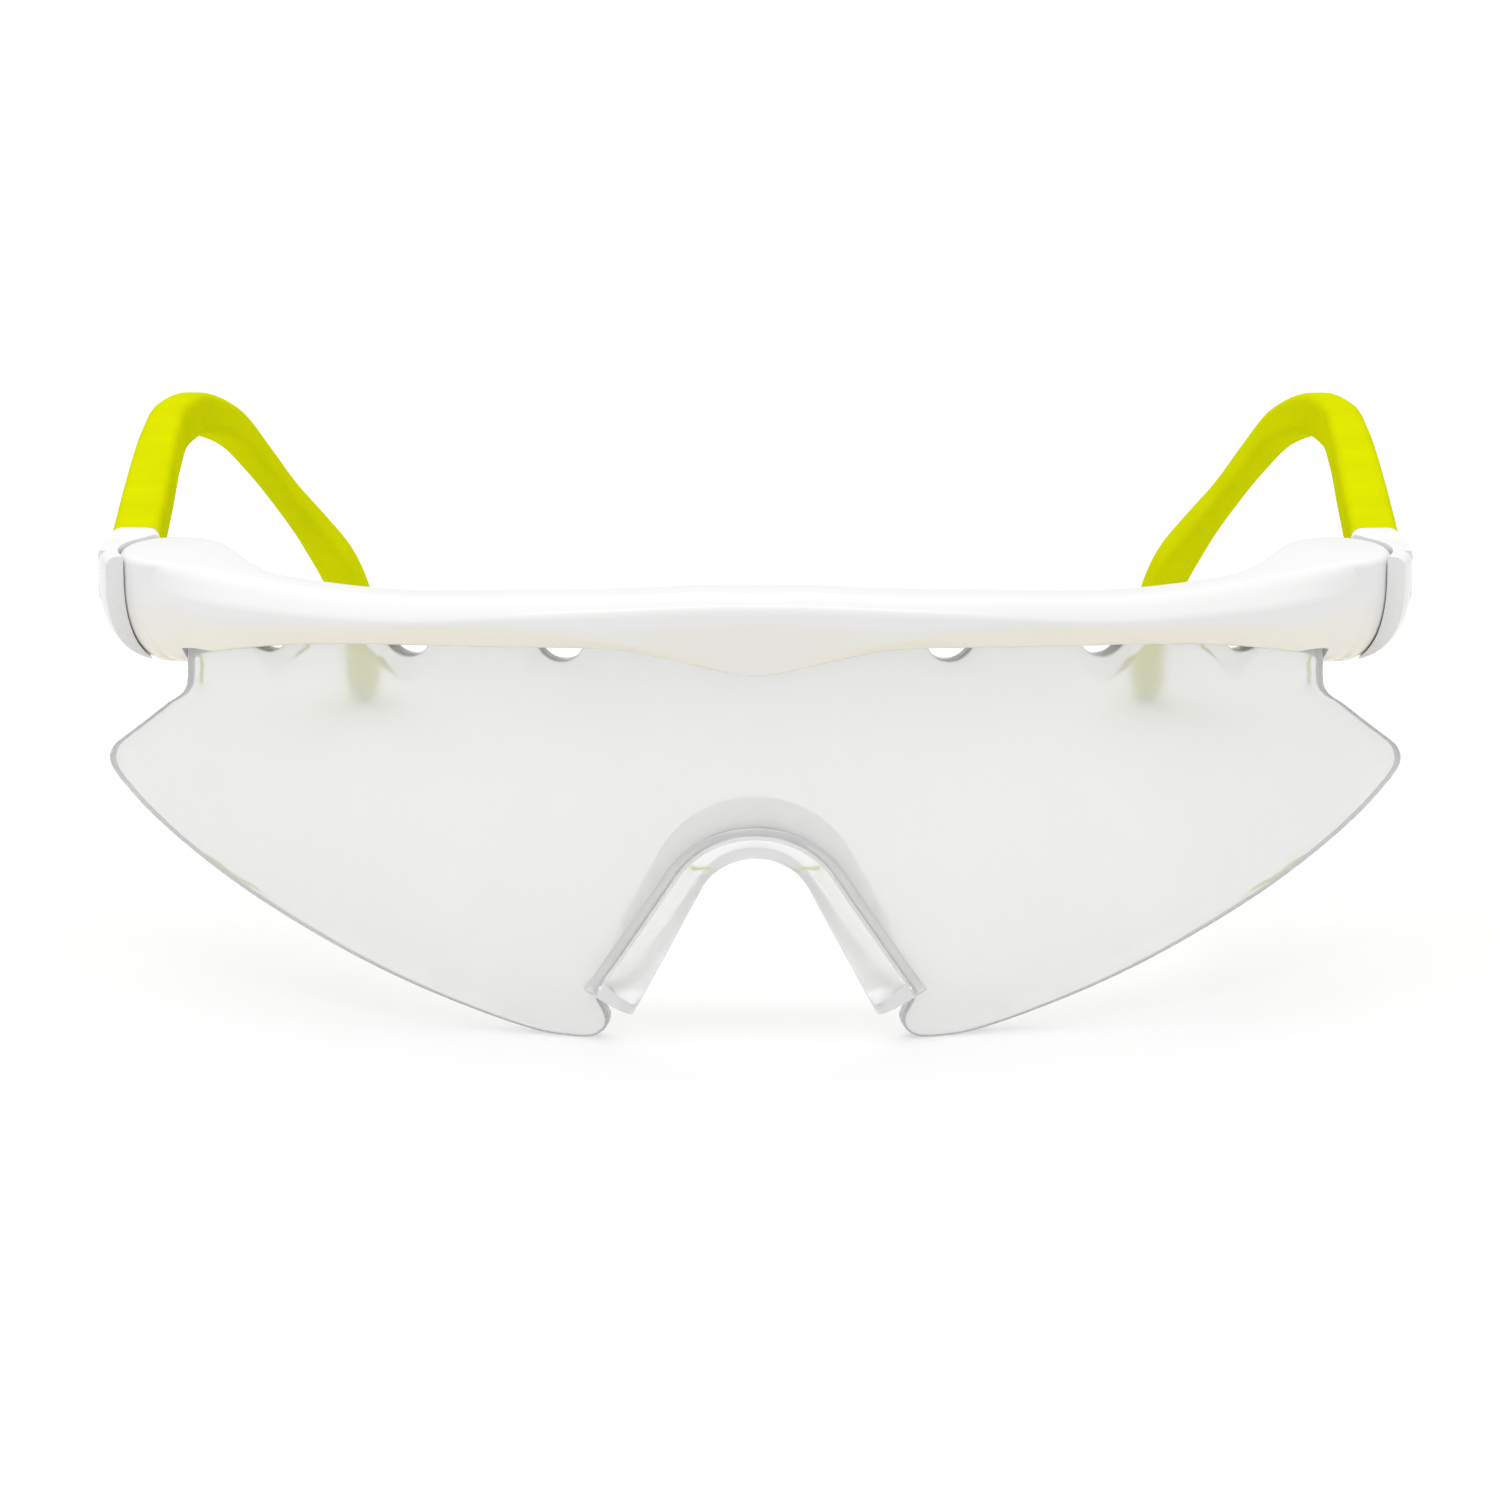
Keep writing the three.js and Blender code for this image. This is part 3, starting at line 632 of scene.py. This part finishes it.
def through(points, step):
    """Smooth run through 2D points, sampled about every step millimetres."""
    curve = [Vector((x, z, 0)) for x, z in points]
    length = sum((b - a).length for a, b in zip(curve, curve[1:]))
    return [tuple(path_point(curve, t)[0][:2]) for t in spread(0, 1, max(4, round(length / step)))]


def lens_left_outline():
    """Left half of the lens outline, from the top of the nose arch round to the middle of the top edge."""
    points = nose_edge(16)[::-1]
    points += through(LENS_NOSE_CORNER, 0.4)
    points += through(LENS_LOWER_EDGE, 1.0)[1:]
    points += through(LENS_WING_TIP, 0.5)[1:]
    points += through(LENS_WING_SLOPE, 1.0)[1:]
    points += through(LENS_STEP, 0.4)[1:]
    points += [(-LENS_EDGE_X, 38.8), (-LENS_EDGE_X, 40.2)]
    return points + lens_left_top()


def lens_left_top():
    """Left half of the top edge, with the round bottoms of its vents."""
    top = even_curve(LENS_TOP)
    points = []
    x = -LENS_EDGE_X
    for middle, height in [(-m, h) for m, h in reversed(VENTS)]:
        turns = spread(math.pi, 2 * math.pi, 22)
        notch = [(middle + VENT_RADIUS * math.cos(a), height + VENT_RADIUS * math.sin(a)) for a in turns]
        notch = [(out, h) for out, h in notch if h < top(out) - 0.05]
        start = notch[0][0]
        steps = max(2, round((start - x) / TOP_EDGE_STEP))
        points += [(out, top(out)) for out in spread(x, start, steps)[:-1]]
        if height < top(start) - 0.5:
            points.append((start, top(start)))
        points += notch
        x = notch[-1][0]
    points += [(s, top(s)) for s in spread(x, 0, round(-x / TOP_EDGE_STEP))]
    return points


def inset(outline, distance):
    """Closed counter-clockwise outline moved inwards."""
    moved = []
    count = len(outline)
    for i in range(count):
        a, b, c = (Vector(outline[(i + k) % count]) for k in (-1, 0, 1))
        along = ((b - a).normalized() + (c - b).normalized()).normalized()
        moved.append((b.x - along.y * distance, b.y + along.x * distance))
    return moved


def lens():
    left = lens_left_outline()
    outline = left + [(-x, z) for x, z in reversed(left[1:-1])]
    area = sum(a[0] * b[1] - b[0] * a[1] for a, b in zip(outline, outline[1:] + outline[:1]))
    if area < 0:
        outline.reverse()
    inner = inset(outline, LENS_EDGE_ROUND)
    boundary = [Vector(p) for p in inner]
    edge_clearance = 1.1
    grid = []
    for i in range(-33, 34):
        for j in range(0, 22):
            spot = Vector((i * LENS_MESH_STEP, j * LENS_MESH_STEP + 0.7))
            if inside(spot, inner) and min((spot - b).length for b in boundary) > edge_clearance:
                grid.append(spot)
    count = len(inner)
    edges = [(i, (i + 1) % count) for i in range(count)]
    flat, _, faces, *_ = delaunay_2d_cdt(boundary + grid, edges, [], 1, 1e-5)
    return lens_mesh(outline, [tuple(p) for p in flat], faces)


def inside(spot, outline):
    """Whether a spot lies inside a closed outline."""
    found = False
    for (x0, y0), (x1, y1) in zip(outline, outline[1:] + outline[:1]):
        if (y0 > spot.y) != (y1 > spot.y) and spot.x < x0 + (spot.y - y0) * (x1 - x0) / (y1 - y0):
            found = not found
    return found


def lens_mesh(outline, flat, faces):
    """Front and back sheets joined by a rim with rounded edges."""
    count = len(outline)
    points = [on_lens(x, z, 0) for x, z in flat]
    shift = len(points)
    points += [on_lens(x, z, LENS_THICKNESS) for x, z in flat]
    rows = [list(range(count))]
    turn = inset(outline, LENS_EDGE_ROUND * 0.3)
    for loop, depth in ((turn, 0.3), (outline, 1.0), (outline, -1.0), (turn, -0.3)):
        real = LENS_EDGE_ROUND * depth + (0 if depth > 0 else LENS_THICKNESS)
        rows.append([len(points) + i for i in range(count)])
        points += [on_lens(x, z, real) for x, z in loop]
    rows.append([shift + i for i in range(count)])
    polygons = [tuple(f) for f in faces] + [tuple(shift + k for k in reversed(f)) for f in faces]
    sheet_faces = len(polygons)
    for upper, lower in zip(rows, rows[1:]):
        for i in range(count):
            k = (i + 1) % count
            polygons.append((upper[k], upper[i], lower[i], lower[k]))
    piece = new_object("clear_lens", points, polygons)
    piece.data.materials.append(clear_polycarbonate())
    piece.data.materials.append(lens_rim())
    for face in piece.data.polygons[sheet_faces:]:
        # Rim faces below this height get the painted-shade rim material.
        face.material_index = 1 if face.center.z < PAINTED_RIM_SHADE_TOP * MM else 0
    fix_normals(piece)
    piece.data.shade_smooth()
    return piece


# ---- Nose pad ------------------------------------------------------------------------------------------


def nose_pad_section(reach, flare, depth):
    """Groove over the lens edge and a wall that leans away towards the back: (into the opening, back)."""
    lip = LENS_THICKNESS + GAP
    corners = [
        (-1.3, -1.5), (reach * 0.6, -1.5), (reach, -0.6), (reach, lip), (reach * 0.45, depth * 0.62),
        (-flare * 0.4, depth * 0.92), (-flare, depth), (-flare, depth - 1.1),
        (-flare * 0.4, depth * 0.92 - 1.4), (-1.2, lip + 1.1), (-1.2, lip), (GAP, lip), (GAP, -GAP),
        (-1.3, -GAP),
    ]
    radii = [0.5, 0.8, 0.9, 1.2, 1.5, 1.5, 0.5, 0.5, 1.0, 0.5, 0.25, 0.12, 0.12, 0.3]
    return rounded(corners, radii, 4)


def nose_pad():
    left = nose_edge(18)
    line = left + [(-x, z) for x, z in reversed(left[:-1])]
    leg_top = NOSE_ARCH_RADIUS * math.sin(NOSE_LEG_SLOPE)
    arch_top = NOSE_ARCH_RADIUS + NOSE_ARCH_CENTRE
    rings = []
    for x, height in line:
        lean = math.asin(x / NOSE_ARCH_RADIUS) if abs(x) < leg_top else math.copysign(NOSE_LEG_SLOPE, x)
        leg = (arch_top - height) / (arch_top - NOSE_LEG_FOOT)
        ring = []
        reach, flare, depth = (mix(*ends, leg) for ends in (PAD_REACH, PAD_FLARE, PAD_DEPTH))
        for into, back in nose_pad_section(reach, flare, depth):
            ring.append(on_lens(x - into * math.sin(lean), height - into * math.cos(lean), back))
        rings.append(ring)
    piece = skin("soft_nose_pad", rings)
    piece.data.materials.append(clear_vinyl())
    finish_mesh(piece, 50)
    return piece


# ---- Browbar -------------------------------------------------------------------------------------------


def bar_section(angle):
    out = BAR_FRONT_RADIUS * math.sin(angle)
    lower = even_curve(BAR_LOWER_EDGE)(out)
    chin = even_curve(BAR_CHIN_EDGE)(out)
    crease = even_curve(BAR_CREASE)(out)
    top = min(even_curve(BAR_TOP_EDGE)(out), BAR_CREST)
    beak = 1 - smoothstep(abs(out), 0, BEAK_HALF_WIDTH)
    return [
        (BAR_BACK_RADIUS + 0.8, lower),
        (BAR_FRONT_RADIUS - BAR_CHIN_SETBACK, lower),
        (BAR_FRONT_RADIUS - BAR_CHIN_SETBACK * beak, chin),
        (BAR_FRONT_RADIUS + 0.2, chin + (crease - chin) * (0.5 + 0.3 * beak)),
        (BAR_FRONT_RADIUS, crease),
        (BAR_FRONT_RADIUS - 0.6 - 0.75 * (top - crease), top),
        (BAR_BACK_RADIUS + 1.2, top),
        (BAR_BACK_RADIUS, top - 1.2),
        (BAR_BACK_RADIUS, lower + 0.8),
    ]


BAR_END_SECTION = [
    (-2.9, END_BOTTOM), (2.9, END_BOTTOM), (5.4, 41.3), (6.3, 44.2), (BARREL_RADIUS, END_SHOULDER),
    (BARREL_RADIUS - 1, END_TOP), (1 - BARREL_RADIUS, END_TOP), (-BARREL_RADIUS, END_TOP - 1), (-5.4, 41.3),
]
BAR_ROUNDS = [0.8, 0.5, 0.6, 1.0, 0.7, 1.6, 0.8, 0.8, 0.8]
BAR_END_ROUNDS = [2.5, 2.5, 2.0, 2.0, 2.0, 0.8, 0.6, 0.6, 3.0]


def bar_ring(angle, end):
    blend = smoothstep(abs(angle), end * END_ROUNDS_FROM, end)
    widening = smoothstep(abs(angle), end * END_WIDENS_FROM, end)
    corners = []
    for (radius, height), (reach, level) in zip(bar_section(angle), BAR_END_SECTION):
        corners.append((mix(radius, HINGE_REACH + reach, widening), mix(height, level, blend)))
    rounds = [mix(a, b, blend) for a, b in zip(BAR_ROUNDS, BAR_END_ROUNDS)]
    ring = []
    for r, z in rounded(corners, rounds, 5):
        ring.append(part_point(r * math.sin(angle), LENS_PLAN_RADIUS - r * math.cos(angle), z))
    return ring


def end_profile(radius, base, extra=0.0, rim=1.0):
    """Profile of a round end about the hinge axis, with its bottom corner well rounded."""
    foot, control = base
    steps = 16
    points = [(0.0, END_BOTTOM - extra)]
    for i, t in enumerate(spread(0, 1, steps)):
        r = foot * (1 - t) ** 2 + control[0] * 2 * t * (1 - t) + radius * t * t
        z = END_BOTTOM * (1 - t) ** 2 + control[1] * 2 * t * (1 - t) + END_SHOULDER * t * t
        points.append((r + extra, z - extra * (1 - i / steps)))
    for a in spread(0, math.pi / 2, 6):
        points.append((radius + extra - rim + rim * math.cos(a), END_TOP + extra - rim + rim * math.sin(a)))
    points.append((0.0, END_TOP + extra))
    return points


def barrel(side, extra=0.0):
    return turned("barrel", end_profile(BARREL_RADIUS, BARREL_FOOT, extra), side * HINGE_X, HINGE_Y)


def post(radius, low, high, side, segments=64):
    profile = [(0, low), (radius, low), (radius, high), (0, high)]
    return turned("post", profile, side * HINGE_X, HINGE_Y, segments)


def wedge(side, start, end, low, high):
    """Pie-shaped block about a hinge, between two angles in degrees."""
    reach = 30
    outline = [(side * HINGE_X, HINGE_Y)]
    for a in spread(math.radians(start), math.radians(end), 24):
        outline.append((side * (HINGE_X + reach * math.cos(a)), HINGE_Y + reach * math.sin(a)))
    return prism("wedge", outline, part_point, low, high)


def lens_slot():
    """Curved slab a little thicker than the lens, for the slot in the underside of the bar."""
    top = even_curve(LENS_TOP)
    edge = LENS_EDGE_X + GAP
    rings = []
    for x in spread(-edge, edge, 120):
        roof = top(x) + GAP
        ring = [on_lens(x, z, -GAP) for z in spread(CUT_LOW, roof, 10)]
        ring += [on_lens(x, z, LENS_THICKNESS + GAP) for z in spread(roof, CUT_LOW, 10)]
        rings.append(ring)
    return skin("slot", rings)


def browbar():
    end = math.asin(HINGE_X / HINGE_REACH)
    piece = skin("white_browbar", [bar_ring(angle, end) for angle in spread(-end, end, BAR_SECTIONS)])
    combine(piece, barrel(LEFT, -0.03), "UNION")
    combine(piece, lens_slot(), "DIFFERENCE")
    combine(piece, wedge(LEFT, *FORK_OPEN, FORK_LOW, FORK_HIGH), "DIFFERENCE")
    combine(piece, post(KNUCKLE_RADIUS + GAP, FORK_LOW, FORK_HIGH, LEFT), "DIFFERENCE")
    below = END_BOTTOM - 1
    combine(piece, post(SCREW_RADIUS + GAP, below, SCREW_TOP + GAP, LEFT, 32), "DIFFERENCE")
    combine(piece, post(SCREW_HEAD_RADIUS + GAP, below, SCREW_HEAD_TOP + GAP, LEFT, 48), "DIFFERENCE")
    mirror_halves(piece)
    fix_normals(piece)
    only_material(piece, white_plastic("white_gloss_plastic", WHITE, 0.16))
    finish_mesh(piece, 30)
    return piece


# ---- Temples -------------------------------------------------------------------------------------------


def arm_place(side, t):
    """Centre, thin direction and tall direction of the arm at a place along it."""
    centre, along = path_point([part_point(side * x, y, z) for x, y, z in ARM_PATH], t)
    thin = (Vector((1, 0, 0)) - along * along.x).normalized()
    return centre, thin, thin.cross(along)


def arm_ring(side, t, outline):
    centre, thin, tall = arm_place(side, t)
    return [centre + thin * (a * MM) + tall * (b * MM) for a, b in outline]


def arm_outline(t):
    width = even_curve(ARM_WIDTHS)(t)
    height = even_curve(ARM_HEIGHTS)(t)
    tip = 1.0
    if t > TIP_START:
        along = (t - TIP_START) / (TIP_CLOSE - TIP_START)
        tip = max(TIP_LEAST, math.sqrt(max(0.0, 1 - along**2)))
    return rounded_box(width * tip, height * tip, ARM_CORNER * tip, 6)


def arm_box(side, width, height, start, end):
    """Straight rounded block along the front of the arm."""
    outline = rounded_box(width, height, 0.32 * width, 6)
    rings = [[part_point(side * ARM_X + a, y, ARM_Z + b) for a, b in outline] for y in (start, end)]
    return skin("arm_box", rings)


def temple_sleeve(name, side, material):
    stations = spread(0, 0.3, 30) + spread(0.3, 0.97, 90)[1:] + spread(0.97, 1, 14)[1:]
    piece = skin(name, [arm_ring(side, t, arm_outline(t)) for t in stations])
    hollow = arm_box(side, SPIGOT_WIDTH + 2 * GAP, SPIGOT_HEIGHT + 2 * GAP, ARM_START - 3, SPIGOT_END + 0.5)
    combine(piece, hollow, "DIFFERENCE")
    only_material(piece, material)
    finish_mesh(piece, 40)
    return piece


def arm_stub(side):
    """Solid that carries the shell back to the arm."""
    length = 9
    widths = even_curve([(0, 7), (4.5, 6.6), (7.2, 6), (length, ARM_WIDTH)])
    heights = even_curve([(0, 7.4), (4.5, 7), (7.2, 6.5), (length, ARM_HEIGHT)])
    rings = []
    for back in spread(0, length, 18):
        height = heights(back)
        outline = rounded_box(widths(back), height, ARM_CORNER, 6)
        y = ARM_START - GAP - length + back
        centre = ARM_Z - (height - ARM_HEIGHT) / 4
        rings.append([part_point(side * ARM_X + a, y, centre + b) for a, b in outline])
    return skin("stub", rings)


def hinge_end_side_view():
    """Outline seen from the side, (back, height), that the shell and stub are trimmed to."""
    front, below, top = 20, END_BOTTOM - 1, END_TOP - 0.02
    back = ARM_START - GAP + 0.001
    half = ARM_HEIGHT / 2 + 0.01
    start, corner, end = Vector((33, below)), Vector((38, 38.8)), Vector((40.6, 44))
    outline = [(front, top), (front, below)]
    for t in spread(0, 1, 14):
        outline.append(tuple(start * (1 - t) ** 2 + corner * 2 * t * (1 - t) + end * t * t))
    return outline + [(back, ARM_Z - half), (back, ARM_Z + half), (39, top)]


def hinge_end(name, side, material):
    """White front end of a temple: knuckle, shell round the bar's end, and a spigot inside the arm.

    Both are made as the left one, and the right one is then mirrored.
    """
    low, high = FORK_LOW + GAP, FORK_HIGH - GAP
    profile = end_profile(SHELL_RADIUS, SHELL_FOOT, rim=1.2)
    piece = turned(name, profile, LEFT * HINGE_X, HINGE_Y, 128)
    combine(piece, wedge(LEFT, *SHELL_SPAN, CUT_LOW, CUT_HIGH), "INTERSECT")
    combine(piece, arm_stub(LEFT), "UNION")
    combine(piece, barrel(LEFT, CLOSE_GAP), "DIFFERENCE")
    combine(piece, post(BARREL_RADIUS + CLOSE_GAP + 0.01, END_SHOULDER, CUT_HIGH, LEFT, 96), "DIFFERENCE")
    cutter = prism("side", hinge_end_side_view(), lambda y, z, x: part_point(x, y, z), -100, 100)
    combine(piece, cutter, "INTERSECT")
    web = post(SHELL_RADIUS - 1, low, high, LEFT, 96)
    combine(web, wedge(LEFT, *WEB_SPAN, CUT_LOW, CUT_HIGH), "INTERSECT")
    combine(piece, web, "UNION")
    combine(piece, post(KNUCKLE_RADIUS, low + 0.05, high - 0.05, LEFT), "UNION")
    combine(piece, post(SCREW_RADIUS + GAP, END_BOTTOM, END_TOP, LEFT, 32), "DIFFERENCE")
    combine(piece, arm_box(LEFT, SPIGOT_WIDTH, SPIGOT_HEIGHT, ARM_START - 1, SPIGOT_END), "UNION")
    only_material(piece, material)
    soften(piece, 0.2, 40)
    fix_normals(piece)
    if side == RIGHT:
        mirrored(piece)
    finish_mesh(piece, 35)
    return piece


def hinge_screw(name, side, material):
    """Screw put in from below, with a cross recess in its head."""
    low, top = END_BOTTOM + GAP, SCREW_HEAD_TOP
    head = SCREW_HEAD_RADIUS
    profile = [
        (0, low), (head * 0.55, low), (head * 0.88, low + 0.12), (head, low + 0.35), (head, top - 0.08),
        (head - 0.08, top), (SCREW_RADIUS, top),
    ]
    turns = 26
    thread_depth = 0.09
    for i, z in enumerate(spread(top + 0.25, SCREW_TOP - 0.4, turns * 2)):
        profile.append((SCREW_RADIUS - (0.0 if i % 2 else thread_depth), z))
    profile += [(SCREW_RADIUS - 0.3, SCREW_TOP), (0, SCREW_TOP)]
    piece = turned(name, profile, side * HINGE_X, HINGE_Y, 48)
    x, y = side * HINGE_X, HINGE_Y
    long, short = 0.95, 0.18
    for a, b in ((long, short), (short, long)):
        outline = [(x - a, y - b), (x + a, y - b), (x + a, y + b), (x - a, y + b)]
        combine(piece, prism("recess", outline, part_point, low - 1, low + 0.6), "DIFFERENCE")
    only_material(piece, material)
    finish_mesh(piece, 30)
    return piece


# ---- The whole object ----------------------------------------------------------------------------------


def carried_over(name, material):
    """A CAD node that stays as it is, with a better material."""
    only_material(frame["nodes"][name], material)


def build():
    white = white_plastic("white_semi_gloss_plastic", WHITE, 0.24)
    rubber = lime_rubber()
    steel = metal("turned_steel", (0.50, 0.51, 0.52), (0.62, 0.63, 0.64), 0.22, 0.38)
    brass = metal("turned_brass", (0.60, 0.42, 0.16), (0.72, 0.54, 0.24), 0.25, 0.4)
    for piece, cad_node, finish in (
        (browbar(), "browbar", "white_frame"),
        (lens(), "lens", "clear_lens"),
        (nose_pad(), "nose_pad", "clear_soft"),
    ):
        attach(piece, "front")
        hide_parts(cad_node)
    for word, side in (("left", LEFT), ("right", RIGHT)):
        end = hinge_end(f"{word}_white_hinge_end", side, white)
        sleeve = temple_sleeve(f"{word}_lime_temple", side, rubber)
        screw = hinge_screw(f"{word}_fold_screw", side, steel)
        for piece, cad_node, finish, body in (
            (end, f"{word}_hinge_end", "white_hinge_end", f"{word}_temple"),
            (sleeve, f"{word}_temple_sleeve", "lime_rubber", f"{word}_temple"),
            (screw, f"{word}_hinge_screw", "steel", "front"),
        ):
            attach(piece, body)
            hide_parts(cad_node)
        carried_over(f"{word}_core_wire", steel)
        carried_over(f"{word}_screw_insert", brass)


camera()
floor()
light()
build()
